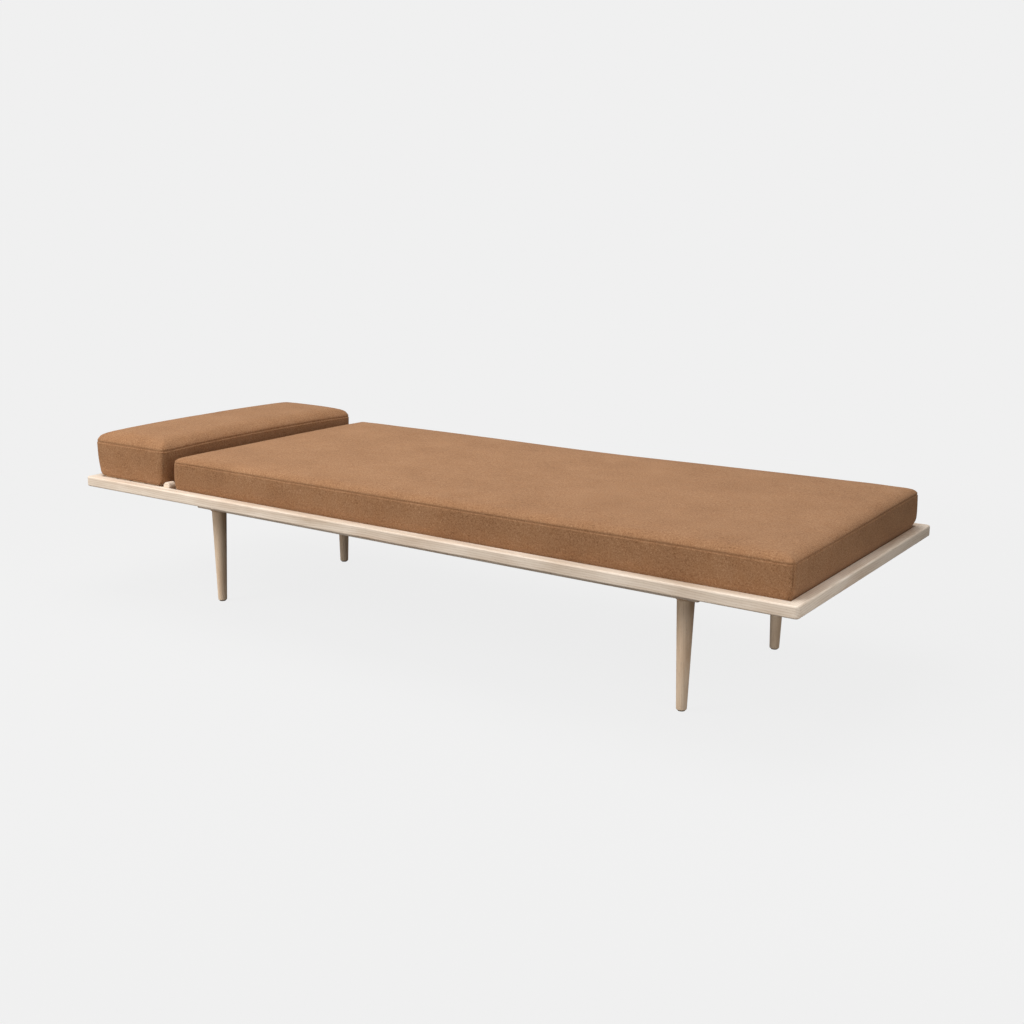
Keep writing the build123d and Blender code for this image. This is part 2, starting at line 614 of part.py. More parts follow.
with BuildPart() as rack_front:
    with BuildSketch(Plane.XZ.offset(RACK_Y - RACK_WIDTH / 2)):
        with BuildLine():
            Polyline(
                (-INNER_X - RACK_TONGUE_LENGTH, RACK_BOTTOM),
                (-INNER_X - RACK_TONGUE_LENGTH, RAIL_BOTTOM),
                (-INNER_X + RACK_GAP, RAIL_BOTTOM),
                (-INNER_X + RACK_GAP, TOOTH_TIP_Z),
                (TOOTHED_FOOT_X, TOOTH_TIP_Z),
                (TOOTHED_FOOT_X + RACK_LAND, RACK_BACK_TOP),
                (-BEARER_END_X + CROSS_RAIL_THICKNESS, RACK_BACK_TOP),
                (-BEARER_END_X + CROSS_RAIL_THICKNESS, RAIL_BOTTOM),
                (-BEARER_END_X - RACK_GAP, RAIL_BOTTOM),
                (-BEARER_END_X - RACK_GAP, RACK_BOTTOM),
                close=True,
            )
        make_face()
        for notch_x in NOTCH_XS:
            with BuildLine():
                Polyline(
                    (notch_x - NOTCH_RADIUS, TOOTH_TIP_Z - NOTCH_DEPTH + NOTCH_RADIUS),
                    (notch_x - NOTCH_RADIUS, TOOTH_TIP_Z),
                    (notch_x + NOTCH_RADIUS + NOTCH_RAMP, TOOTH_TIP_Z),
                    (notch_x + NOTCH_RADIUS, TOOTH_TIP_Z - NOTCH_DEPTH + NOTCH_RADIUS),
                )
                ThreePointArc(
                    (notch_x + NOTCH_RADIUS, TOOTH_TIP_Z - NOTCH_DEPTH + NOTCH_RADIUS),
                    (notch_x, TOOTH_TIP_Z - NOTCH_DEPTH),
                    (notch_x - NOTCH_RADIUS, TOOTH_TIP_Z - NOTCH_DEPTH + NOTCH_RADIUS),
                )
            make_face(mode=Mode.SUBTRACT)
    extrude(amount=RACK_WIDTH)
    with Locations((RACK_SCREW_X, -RACK_Y, RAIL_BOTTOM)):
        Hole(SCREW_HOLE_RADIUS, depth=RAIL_BOTTOM - RACK_BOTTOM)
    with Locations((CROSS_HEAD_X, -RACK_Y, RACK_BACK_TOP)):
        Hole(SCREW_HOLE_RADIUS, depth=RACK_BACK_TOP - RAIL_BOTTOM)
save(rack_front.part, "rack_front")

with BuildPart() as rack_back:
    mirror(rack_front.part, about=Plane.XZ)
save(rack_back.part, "rack_back")

RACK_SCREW_LENGTH = RAIL_BOTTOM - RACK_BOTTOM + RACK_SCREW_DEPTH - TIP_CLEARANCE
with BuildPart() as rack_screws:
    head_rail_places = [(RACK_SCREW_X, side * RACK_Y, RACK_BOTTOM) for side in (-1, 1)]
    cross_rail_places = [(CROSS_HEAD_X, side * RACK_Y, RACK_BACK_TOP) for side in (-1, 1)]
    add(screws(head_rail_places, RACK_SCREW_LENGTH, pointing_up=True))
    add(screws(cross_rail_places, RACK_BACK_SCREW_LENGTH))
save(rack_screws.part, "rack_screws")

# ---- Mattress and headrest cushion: a foam core in a sewn cover ----------------------------
PAD_GAP = 0.3
MATTRESS_BOTTOM = SLAT_TOP + PAD_GAP
CUSHION_BOTTOM = HEADREST_TOP + PAD_GAP
CUSHION_HEAD_X = -988.0
CUSHION_FOOT_X = -741.0
CUSHION_SEAM_HEAD_X = -1000.0
CUSHION_SEAM_FOOT_X = -747.0
CUSHION_WIDTH = 740.0
SEAM_HEIGHT_CUSHION = 410.0
CROWN_HEIGHT_CUSHION = 435.0
CROWN_INSET = 42.0


def pad(foot_print, seam_print, width, bottom, seam, crown, inset):
    """A pad with plain sides up to its seam and a crowned top, shrunk by inset all round.

    Each print is the pad's head and foot X at that level.
    """
    levels = [
        (bottom + inset, foot_print, inset),
        (seam - inset / 2, seam_print, inset),
        (crown - inset, seam_print, inset + CROWN_INSET),
    ]
    with BuildPart() as body:
        for low, high in zip(levels, levels[1:]):
            for z, (head_x, foot_x), shrink in (low, high):
                radius = CUSHION_PLAN_RADIUS - inset - (shrink - inset) / 4
                with BuildSketch(Plane(((head_x + foot_x) / 2, 0, z))):
                    RectangleRounded(foot_x - head_x - 2 * shrink, width - 2 * shrink, radius)
            loft(ruled=True)
    return body.part


MATTRESS_PRINT = (MATTRESS_HEAD_X, MATTRESS_FOOT_X)
PADS = {
    "mattress": (
        MATTRESS_PRINT,
        MATTRESS_PRINT,
        MATTRESS_WIDTH,
        MATTRESS_BOTTOM,
        SEAM_HEIGHT_MATTRESS,
        CROWN_HEIGHT_MATTRESS,
    ),
    "headrest_cushion": (
        (CUSHION_HEAD_X, CUSHION_FOOT_X),
        (CUSHION_SEAM_HEAD_X, CUSHION_SEAM_FOOT_X),
        CUSHION_WIDTH,
        CUSHION_BOTTOM,
        SEAM_HEIGHT_CUSHION,
        CROWN_HEIGHT_CUSHION,
    ),
}
for pad_name, pad_sizes in PADS.items():
    with BuildPart() as cover:
        add(pad(*pad_sizes, inset=0.0))
        add(pad(*pad_sizes, inset=COVER_THICKNESS), mode=Mode.SUBTRACT)
    save(cover.part, f"{pad_name}_cover")
    save(pad(*pad_sizes, inset=COVER_THICKNESS + PAD_GAP), f"{pad_name}_core")
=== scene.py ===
"""The daybed's looks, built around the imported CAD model. Metres, in the CAD frame."""

import json
import math

import bpy
import numpy as np
from mathutils import Matrix, Vector


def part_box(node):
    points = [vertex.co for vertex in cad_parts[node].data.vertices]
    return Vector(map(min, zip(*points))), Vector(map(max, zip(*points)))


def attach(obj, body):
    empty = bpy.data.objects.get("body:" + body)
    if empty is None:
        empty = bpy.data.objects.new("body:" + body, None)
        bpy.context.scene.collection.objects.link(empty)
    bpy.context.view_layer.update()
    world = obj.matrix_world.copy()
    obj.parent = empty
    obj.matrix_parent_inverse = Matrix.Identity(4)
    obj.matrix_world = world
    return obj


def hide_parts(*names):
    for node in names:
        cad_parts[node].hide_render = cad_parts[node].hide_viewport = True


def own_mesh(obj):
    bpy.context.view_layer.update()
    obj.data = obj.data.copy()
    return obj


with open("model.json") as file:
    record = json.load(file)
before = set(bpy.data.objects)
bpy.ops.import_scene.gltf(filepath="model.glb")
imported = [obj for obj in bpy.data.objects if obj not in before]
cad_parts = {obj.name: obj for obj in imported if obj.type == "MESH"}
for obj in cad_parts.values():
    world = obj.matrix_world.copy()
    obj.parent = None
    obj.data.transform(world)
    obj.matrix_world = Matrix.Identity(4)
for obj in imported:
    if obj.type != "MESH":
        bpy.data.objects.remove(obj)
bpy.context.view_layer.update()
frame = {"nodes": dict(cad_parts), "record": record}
scene = bpy.context.scene
MM = 0.001

# ---- Camera --------------------------------------------------------------------------------
CAMERA_PLACE = (1.8838, -2.6797, 1.0540)
CAMERA_YAW = 33.761
CAMERA_PITCH_DOWN = 13.145
CAMERA_ROLL = 0.636
CAMERA_LENS = 47.354


def make_camera():
    """Looks from the front right, a little above the mattress."""
    data = bpy.data.cameras.new("camera")
    data.sensor_width = 36.0
    data.lens = CAMERA_LENS
    data.clip_end = 200.0
    camera = bpy.data.objects.new("camera", data)
    turn = Matrix.Rotation(math.radians(CAMERA_YAW), 4, "Z")
    tip = Matrix.Rotation(math.radians(90.0 - CAMERA_PITCH_DOWN), 4, "X")
    roll = Matrix.Rotation(math.radians(CAMERA_ROLL), 4, "Z")
    camera.matrix_world = Matrix.Translation(CAMERA_PLACE) @ turn @ tip @ roll
    scene.collection.objects.link(camera)
    scene.camera = camera


# ---- Node trees ----------------------------------------------------------------------------
class Shader:
    """Builds one material's node tree; a value or a socket can feed any input."""

    def __init__(self, name):
        self.material = bpy.data.materials.new(name)
        self.material.use_nodes = True
        self.tree = self.material.node_tree
        self.tree.nodes.clear()

    def add(self, kind, inputs=None, **settings):
        node = self.tree.nodes.new(kind)
        for key, value in settings.items():
            setattr(node, key, value)
        for key, value in (inputs or {}).items():
            if isinstance(value, bpy.types.NodeSocket):
                self.tree.links.new(value, node.inputs[key])
            else:
                node.inputs[key].default_value = value
        return node

    def math(self, operation, a, b=0.0, c=0.0, clamp=False):
        inputs = {0: a, 1: b, 2: c}
        return self.add("ShaderNodeMath", inputs, operation=operation, use_clamp=clamp).outputs[0]

    def vector(self, operation, a, b):
        return self.add("ShaderNodeVectorMath", {0: a, 1: b}, operation=operation).outputs[0]

    def noise(self, vector, scale=1.0, detail=2.0, roughness=0.5):
        inputs = {"Vector": vector, "Scale": scale, "Detail": detail, "Roughness": roughness}
        return self.add("ShaderNodeTexNoise", inputs).outputs["Fac"]

    def vary(self, value, field, weight, clamp=False):
        """Value, plus a field from 0 to 1 taken about its middle and weighted."""
        about_zero = self.math("SUBTRACT", field, 0.5)
        return self.math("MULTIPLY_ADD", about_zero, weight, value, clamp)

    def span(self, value, low, high, to_low=0.0, to_high=1.0):
        """Value from low..high mapped smoothly to to_low..to_high."""
        inputs = {0: value, 1: low, 2: high, 3: to_low, 4: to_high}
        return self.add("ShaderNodeMapRange", inputs, interpolation_type="SMOOTHSTEP").outputs[0]

    def mix(self, factor, a, b, blend="MIX"):
        inputs = {0: factor, 6: a, 7: b}
        node = self.add("ShaderNodeMix", inputs, data_type="RGBA", blend_type=blend)
        return node.outputs[2]

    def parts(self, vector):
        node = self.add("ShaderNodeSeparateXYZ", {0: vector})
        return node.outputs[0], node.outputs[1], node.outputs[2]

    def join(self, x, y, z):
        return self.add("ShaderNodeCombineXYZ", {0: x, 1: y, 2: z}).outputs[0]

    def place(self):
        return self.add("ShaderNodeTexCoord").outputs["Object"]

    def finish(self, **inputs):
        """Closes the tree with a Principled shader and returns the material."""
        named = {key.replace("_", " "): value for key, value in inputs.items()}
        shader = self.add("ShaderNodeBsdfPrincipled", named)
        self.add("ShaderNodeOutputMaterial", {"Surface": shader.outputs[0]})
        return self.material


# ---- Wood ----------------------------------------------------------------------------------
# The wave texture repeats every 2 pi / 20 units, so this scale sets one ring per spacing.
RING_SPACING = 3.4 * MM
RING_SCALE = 2.0 * math.pi / (20.0 * RING_SPACING)
# A grain axis, then the two axes across it.
AXIS_ORDER = {"X": (0, 1, 2), "Y": (1, 0, 2), "Z": (2, 0, 1)}
# Length and width of one streak of each figure in the wood.
PATCH = (0.14, 26.0 * MM)
BOARD = (0.60, 12.0 * MM)
BLUSH = (0.33, 50.0 * MM)
FIBRE = (0.030, 0.9 * MM)
PORE = (7.0 * MM, 0.42 * MM)
RAY = (16.0 * MM, 2.6 * MM)
BLUSH_TINT = (0.93, 0.80, 0.72, 1.0)
RAY_COLOUR = (0.86, 0.77, 0.64, 1.0)
PORE_COLOUR = (0.30, 0.20, 0.12, 1.0)


def wood(name, grain, pith, light, dark, pore_strength=1.0, ray_strength=1.0):
    """Wood cut from a log whose pith runs along the grain axis through the two pith offsets."""
    s = Shader(name)
    xyz = s.parts(s.place())
    along, across, up = (xyz[i] for i in AXIS_ORDER[grain])
    across = s.math("SUBTRACT", across, pith[0])
    up = s.math("SUBTRACT", up, pith[1])

    wander_at = s.join(s.math("MULTIPLY", along, 1.6), s.math("MULTIPLY", across, 5.0), up)
    wander = s.noise(wander_at)
    wander = s.math("MULTIPLY", s.math("SUBTRACT", wander, 0.5), 26.0 * MM)
    ripple_at = s.join(s.math("MULTIPLY", along, 14.0), s.math("MULTIPLY", across, 60.0), up)
    ripple = s.math("MULTIPLY", s.math("SUBTRACT", s.noise(ripple_at), 0.5), 1.6 * MM)
    shift = s.math("ADD", wander, ripple)
    log_at = s.join(0.0, s.math("ADD", across, shift), s.math("ADD", up, shift))
    wave_inputs = {"Vector": log_at, "Scale": RING_SCALE, "Distortion": 0.0}
    wave = s.add("ShaderNodeTexWave", wave_inputs, wave_type="RINGS", rings_direction="X")
    rings = s.span(wave.outputs["Fac"], 0.15, 1.0)

    def streaks(size, detail=2.0):
        """Noise stretched along the grain, given the length and width of one streak."""
        length, width = size
        at = s.join(
            s.math("MULTIPLY", along, 1.0 / length),
            s.math("MULTIPLY", across, 1.0 / width),
            s.math("MULTIPLY", up, 1.0 / width),
        )
        return s.noise(at, 1.0, detail)

    patches = streaks(PATCH, 3.0)
    boards = streaks(BOARD)
    fibres = streaks(FIBRE, 3.0)
    pores = s.span(streaks(PORE, 1.0), 0.60, 0.72)
    pores = s.math("MULTIPLY", pores, s.math("MULTIPLY_ADD", rings, 0.75, 0.25))
    rays = s.span(streaks(RAY), 0.60, 0.74)

    tone = s.vary(0.36, rings, 0.26)
    tone = s.vary(tone, patches, 1.9)
    tone = s.vary(tone, boards, 0.75)
    tone = s.vary(tone, fibres, 0.55, clamp=True)
    colour = s.mix(tone, (*light, 1.0), (*dark, 1.0))
    blush = s.span(streaks(BLUSH), 0.48, 0.72, 0.0, 0.30)
    colour = s.mix(blush, colour, BLUSH_TINT, "MULTIPLY")
    colour = s.mix(s.math("MULTIPLY", rays, 0.34 * ray_strength), colour, RAY_COLOUR)
    colour = s.mix(s.math("MULTIPLY", pores, 0.42 * pore_strength), colour, PORE_COLOUR)

    height = s.math("MULTIPLY_ADD", fibres, 0.5, s.math("MULTIPLY", pores, -1.0))
    bump = s.add("ShaderNodeBump", {"Strength": 0.35, "Distance": 0.25 * MM, "Height": height})
    roughness = s.math("MULTIPLY_ADD", fibres, 0.16, 0.50)
    return s.finish(
        Base_Color=colour, Roughness=roughness, Specular_IOR_Level=0.32, Normal=bump.outputs[0]
    )


OAK_LIGHT = (0.92, 0.80, 0.675)
OAK_DARK = (0.62, 0.48, 0.355)
LEG_LIGHT = (0.95, 0.755, 0.565)
LEG_DARK = (0.70, 0.495, 0.325)
BEECH_LIGHT = (0.74, 0.60, 0.44)
BEECH_DARK = (0.60, 0.45, 0.30)


# ---- Wool ----------------------------------------------------------------------------------
YARN_PITCH = 1.5 * MM
YARN_DRIFT = 1.3 * MM
WOOL_DARK = (0.150, 0.066, 0.027)
WOOL_MID = (0.335, 0.172, 0.084)
WOOL_PALE = (0.545, 0.325, 0.180)


def wool(name):
    """Felted camel wool: a plain weave blurred by its nap, with mixed light and dark fibres."""
    s = Shader(name)
    place = s.place()
    drift = s.noise(place, 160.0, 1.0)
    drift = s.math("MULTIPLY", s.math("SUBTRACT", drift, 0.5), YARN_DRIFT)
    yarn_at = s.vector("ADD", place, s.join(drift, drift, drift))
    turned = s.vector("MULTIPLY", yarn_at, [math.pi / YARN_PITCH] * 3)
    sines = [s.math("SINE", part) for part in s.parts(turned)]
    normal = s.parts(s.add("ShaderNodeTexCoord").outputs["Normal"])
    weave = 0.0
    for axis in range(3):
        facing = s.math("MULTIPLY", normal[axis], normal[axis])
        cross = s.math("MULTIPLY", sines[(axis + 1) % 3], sines[(axis + 2) % 3])
        weave = s.math("MULTIPLY_ADD", facing, cross, weave)

    fibres = s.noise(place, 1500.0, 2.0, 0.7)
    flecks = s.noise(place, 620.0, 2.0, 0.6)
    mottle = s.noise(place, 260.0, 2.0, 0.6)
    clouds = s.noise(place, 9.0, 3.0, 0.55)

    shade = s.math("MULTIPLY_ADD", weave, 0.10, 0.40)
    shade = s.vary(shade, fibres, 0.75)
    shade = s.vary(shade, flecks, 0.95)
    shade = s.vary(shade, mottle, 0.80)
    shade = s.vary(shade, clouds, 0.30, clamp=True)
    low = s.mix(s.span(shade, 0.0, 0.42), (*WOOL_DARK, 1.0), (*WOOL_MID, 1.0))
    colour = s.mix(s.span(shade, 0.40, 0.95), low, (*WOOL_PALE, 1.0))
    warm = s.span(s.noise(place, 34.0, 2.0), 0.40, 0.70, 0.0, 0.22)
    colour = s.mix(warm, colour, (1.0, 0.90, 0.78, 1.0), "MULTIPLY")

    height = s.math("MULTIPLY_ADD", weave, 0.30, fibres)
    height = s.math("MULTIPLY_ADD", flecks, 0.8, height)
    bump = s.add("ShaderNodeBump", {"Strength": 0.55, "Distance": 0.45 * MM, "Height": height})
    return s.finish(
        Base_Color=colour,
        Roughness=0.92,
        Specular_IOR_Level=0.16,
        Sheen_Weight=0.12,
        Sheen_Roughness=0.45,
        Sheen_Tint=(0.95, 0.74, 0.55, 1.0),
        Normal=bump.outputs[0],
    )


# ---- Metal and nylon -----------------------------------------------------------------------
def metal(name, colour, roughness):
    """Machined metal with fine turning marks and slight stains."""
    s = Shader(name)
    place = s.place()
    marks = s.noise(s.vector("MULTIPLY", place, (900.0, 60.0, 900.0)), 1.0, 2.0)
    stain = s.noise(place, 240.0, 3.0)
    tint = s.mix(s.span(stain, 0.35, 0.75, 0.0, 0.35), (*colour, 1.0), (0.42, 0.40, 0.37, 1.0))
    rough = s.math("MULTIPLY_ADD", marks, 0.22, roughness - 0.11)
    bump = s.add("ShaderNodeBump", {"Strength": 0.2, "Distance": 0.1 * MM, "Height": marks})
    return s.finish(Base_Color=tint, Metallic=1.0, Roughness=rough, Normal=bump.outputs[0])


def nylon(name):
    """Dark moulded nylon with a fine matt grain."""
    s = Shader(name)
    grain = s.noise(s.place(), 1800.0, 2.0)
    tint = s.mix(grain, (0.030, 0.024, 0.019, 1.0), (0.060, 0.049, 0.040, 1.0))
    bump = s.add("ShaderNodeBump", {"Strength": 0.3, "Distance": 0.1 * MM, "Height": grain})
    return s.finish(Base_Color=tint, Roughness=0.62, Normal=bump.outputs[0])


def foam(name):
    """Cut cold foam with small open cells."""
    s = Shader(name)
    cells = s.add("ShaderNodeTexVoronoi", {"Vector": s.place(), "Scale": 700.0}).outputs[0]
    tint = s.mix(cells, (0.55, 0.49, 0.35, 1.0), (0.76, 0.71, 0.56, 1.0))
    bump = s.add("ShaderNodeBump", {"Strength": 0.6, "Distance": 0.5 * MM, "Height": cells})
    return s.finish(Base_Color=tint, Roughness=0.95, Normal=bump.outputs[0])


def longest_axis(name):
    """The axis along which a CAD node is longest."""
    low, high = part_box(name)
    size = high - low
    return "XYZ"[max(range(3), key=lambda axis: size[axis])]


def dress_nodes(woollen):
    """Gives every CAD node its material, with wood grain along the piece."""
    oak = {
        "X": wood("oak_long", "X", (0.060, 0.180), OAK_LIGHT, OAK_DARK),
        "Y": wood("oak_cross", "Y", (0.912, 0.236), OAK_LIGHT, OAK_DARK),
        "Z": wood("oak_upright", "Z", (0.100, 0.055), LEG_LIGHT, LEG_DARK),
    }
    front_rail_oak = wood("oak_front", "X", (-0.452, 0.262), OAK_LIGHT, OAK_DARK)
    by_slot = {
        "slat_wood": wood("beech_slats", "Y", (0.04, 0.15), BEECH_LIGHT, BEECH_DARK, 0.35, 0.5),
        "steel_fittings": metal("zinc_steel", (0.66, 0.66, 0.64), 0.34),
        "bush_brass": metal("brass", (0.78, 0.57, 0.27), 0.30),
        "glide_plastic": nylon("nylon"),
        "foam_core": foam("foam"),
        "wool_cover": woollen,
    }
    slots = {row["node"]: row["material_slot"] for row in frame["record"]["subparts"]}
    for name, node in frame["nodes"].items():
        if name == "side_rail_front":
            material = front_rail_oak
        elif slots[name] == "soaped_oak":
            material = oak[longest_axis(name)]
        else:
            material = by_slot[slots[name]]
        for slot in node.material_slots:
            slot.material = material


# ---- Sewn pads -----------------------------------------------------------------------------
# Millimetres from an edge to the grid lines beside it, and past those one line per coarse step.
EDGE_STEPS = [0.0, 1.1, 2.4, 4.2, 6.6, 9.6, 13.4, 18.0, 24.0, 32.0, 43.0]
COARSE_STEP = 13.0 * MM
# Millimetres above the lower seam and below the upper one, for the rows of a side panel.
LOW_ROWS = [0.0, 2.0, 5.0, 8.0]
HIGH_ROWS = [7.0, 4.0, 1.6]
ROW_STEP = 9.0 * MM
SIDE_BULGE = 1.5 * MM
SHOULDER_SPREAD = 2.2
CORNER_SEAM_WEIGHT = 0.8
SEAM_DEPTH = 1.6 * MM

CLOTH_PRESSURE = 4.0
CLOTH_MASS = 0.35
CLOTH_FRAMES = 20
SWELL_LIMIT = 3.0 * MM


def lines_across(low, high):
    """Grid lines from low to high, crowded at both ends for the edge seams."""
    near = [low + step * MM for step in EDGE_STEPS]
    far = [high - step * MM for step in reversed(EDGE_STEPS)]
    gap = far[0] - near[-1]
    count = max(2, round(gap / COARSE_STEP))
    middle = [near[-1] + gap * i / count for i in range(1, count)]
    return near + middle + far


def quarter(value):
    """A quarter circle's rise from 0 to 1."""
    value = min(max(value, 0.0), 1.0)
    return math.sqrt(1.0 - (1.0 - value) ** 2)


class Pad:
    """A boxed cushion: side panels, a top and a bottom panel, joined by seams."""

    def __init__(self, low, high, seam, shoulder, dome, dome_reach, corner, under_edge):
        self.low = low
        self.high = high
        self.centre = (low + high) / 2
        self.half = (high - low) / 2
        self.seam = seam
        self.shoulder = shoulder
        self.dome = dome
        self.dome_reach = dome_reach
        self.corner = corner
        self.under_edge = under_edge

    def past_corner(self, x, y):
        """The place from the centre, and how far it lies past the centres of the corner arcs."""
        dx, dy = x - self.centre.x, y - self.centre.y
        over_x = abs(dx) - self.half.x + self.corner
        over_y = abs(dy) - self.half.y + self.corner
        return dx, dy, over_x, over_y

    def plan(self, x, y):
        """A grid place moved so that the corners are round, and its distance from the edge."""
        dx, dy, over_x, over_y = self.past_corner(x, y)
        inside = self.corner - max(over_x, over_y)
        if over_x > 0 and over_y > 0:
            pull = 1.0 - max(over_x, over_y) / math.hypot(over_x, over_y)
            x -= math.copysign(over_x * pull, dx)
            y -= math.copysign(over_y * pull, dy)
        return x, y, max(inside, 0.0)

    def outward(self, x, y):
        """The direction that a side panel faces."""
        dx, dy, over_x, over_y = self.past_corner(x, y)
        nx = math.copysign(max(over_x, 0.0), dx)
        ny = math.copysign(max(over_y, 0.0), dy)
        return Vector((nx, ny, 0.0)).normalized()

    def top(self, x, y, inside):
        """Height of the top panel: a soft shoulder, and a crown that falls off at the corners."""
        from_ends = quarter((self.half.x - abs(x - self.centre.x)) / self.dome_reach)
        from_sides = quarter((self.half.y - abs(y - self.centre.y)) / self.dome_reach)
        rise = self.shoulder * quarter(inside / (self.shoulder * SHOULDER_SPREAD))
        return self.seam + rise + self.dome * (from_ends * from_sides) ** 1.3

    def under(self, inside):
        """Height of the bottom panel, with a rounded edge."""
        return self.low.z + self.under_edge * (1.0 - quarter(inside / self.under_edge))

    def side_heights(self):
        """Heights of the rows of the side panels, crowded at both seams."""
        foot = self.low.z + self.under_edge
        low_rows = [foot + row * MM for row in LOW_ROWS]
        high_rows = [self.seam - row * MM for row in HIGH_ROWS]
        gap = high_rows[0] - low_rows[-1]
        count = math.ceil(gap / ROW_STEP)
        middle = [low_rows[-1] + gap * i / count for i in range(1, count)]
        return low_rows + middle + high_rows

    def mesh(self, name):
        """The closed mesh, with vertex group "seam" on every sewn line."""
        xs = lines_across(self.low.x, self.high.x)
        ys = lines_across(self.low.y, self.high.y)
        points, faces, seam = [], [], {}

        def point(x, y, z):
            points.append((x, y, z))
            return len(points) - 1

        top, under = {}, {}
        for i, gx in enumerate(xs):
            for j, gy in enumerate(ys):
                x, y, inside = self.plan(gx, gy)
                top[i, j] = point(x, y, self.top(x, y, inside))
                under[i, j] = point(x, y, self.under(inside))
        last_i, last_j = len(xs) - 1, len(ys) - 1
        for i in range(last_i):
            for j in range(last_j):
                faces.append([top[i, j], top[i + 1, j], top[i + 1, j + 1], top[i, j + 1]])
                faces.append([under[i, j + 1], under[i + 1, j + 1], under[i + 1, j], under[i, j]])
        ring = [(i, 0) for i in range(last_i)] + [(last_i, j) for j in range(last_j)]
        ring += [(i, last_j) for i in range(last_i, 0, -1)] + [(0, j) for j in range(last_j, 0, -1)]
        corners = {(0, 0), (last_i, 0), (last_i, last_j), (0, last_j)}
        heights = self.side_heights()
        foot, tall = heights[0], self.seam - heights[0]
        rows = []
        for z in heights[1:]:
            row = []
            for i, j in ring:
                x, y, _ = self.plan(xs[i], ys[j])
                out = self.outward(x, y) * SIDE_BULGE * math.sin(math.pi * (z - foot) / tall)
                row.append(point(x + out.x, y + out.y, z))
                if (i, j) in corners:
                    seam[row[-1]] = CORNER_SEAM_WEIGHT
            rows.append(row)
        rows = [[under[at] for at in ring]] + rows + [[top[at] for at in ring]]
        for lower, upper in zip(rows, rows[1:]):
            for k in range(len(ring)):
                n = (k + 1) % len(ring)
                faces.append([lower[k], lower[n], upper[n], upper[k]])
        seam.update({v: 1.0 for v in rows[0] + rows[-1]})

        mesh = bpy.data.meshes.new(name)
        mesh.from_pydata(points, [], faces)
        mesh.update()
        piece = bpy.data.objects.new(name, mesh)
        scene.collection.objects.link(piece)
        group = piece.vertex_groups.new(name="seam")
        for vertex, weight in seam.items():
            group.add([vertex], weight, "REPLACE")
        return piece


def coordinates(mesh):
    """The vertex places of a mesh, one row each."""
    flat = np.empty(len(mesh.vertices) * 3)
    mesh.vertices.foreach_get("co", flat)
    return flat.reshape(-1, 3)


def put_coordinates(mesh, places):
    mesh.vertices.foreach_set("co", places.ravel())
    mesh.update()


def settle(piece, cap):
    """Blows the cover up as cloth over its filling, no further than cap from where it was."""
    before = coordinates(piece.data)
    modifier = piece.modifiers.new("cloth", "CLOTH")
    modifier.settings.quality = 4
    modifier.settings.mass = CLOTH_MASS
    modifier.settings.use_pressure = True
    modifier.settings.uniform_pressure_force = CLOTH_PRESSURE
    modifier.settings.effector_weights.gravity = 0.0
    modifier.point_cache.frame_end = CLOTH_FRAMES
    for step in range(1, CLOTH_FRAMES + 1):
        scene.frame_set(step)
    graph = bpy.context.evaluated_depsgraph_get()
    moved = coordinates(piece.evaluated_get(graph).data) - before
    piece.modifiers.remove(modifier)
    scene.frame_set(1)
    length = np.linalg.norm(moved, axis=1, keepdims=True)
    share = cap * np.tanh(length / cap) / np.maximum(length, 1e-9)
    put_coordinates(piece.data, before + moved * share)


def refine(piece):
    """One subdivision, applied."""
    modifier = piece.modifiers.new("finer", "SUBSURF")
    modifier.levels = 1
    graph = bpy.context.evaluated_depsgraph_get()
    mesh = bpy.data.meshes.new_from_object(piece.evaluated_get(graph))
    piece.modifiers.clear()
    piece.data = mesh


def sew(piece, depth):
    """Pulls the seam lines in and shades the piece smooth."""
    mesh = piece.data
    places = coordinates(mesh)
    normals = np.array([v.normal for v in mesh.vertices])
    weight = np.zeros(len(mesh.vertices))
    for vertex in mesh.vertices:
        for group in vertex.groups:
            weight[vertex.index] = group.weight
    put_coordinates(mesh, places - normals * (weight * depth)[:, None])
    mesh.polygons.foreach_set("use_smooth", [True] * len(mesh.polygons))
    mesh.update()


def smooth(values, low, high):
    """0 below low and 1 above high, with a smooth rise between."""
    share = np.clip((values - low) / (high - low), 0.0, 1.0)
    return share * share * (3.0 - 2.0 * share)


def finish_pad(piece, node_names, body, material, reshape):
    """Shapes, sews, dresses and declares one pad."""
    settle(piece, SWELL_LIMIT)
    put_coordinates(piece.data, reshape(coordinates(piece.data)))
    refine(piece)
    sew(piece, SEAM_DEPTH)
    piece.data.materials.clear()
    piece.data.materials.append(material)
    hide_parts(*node_names)
    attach(piece, body)


RIM_CLEARANCE = 1.0 * MM
RIM_BLEND = 15.0 * MM

MATTRESS_SEAM = 79.7 * MM
MATTRESS_SWELL = 9.0 * MM
MATTRESS_SLACK = 0.6 * MM
SIDE_OVERHANG = 3.0 * MM
FOOT_OVERHANG = 7.0 * MM
HEAD_SETBACK = 4.0 * MM


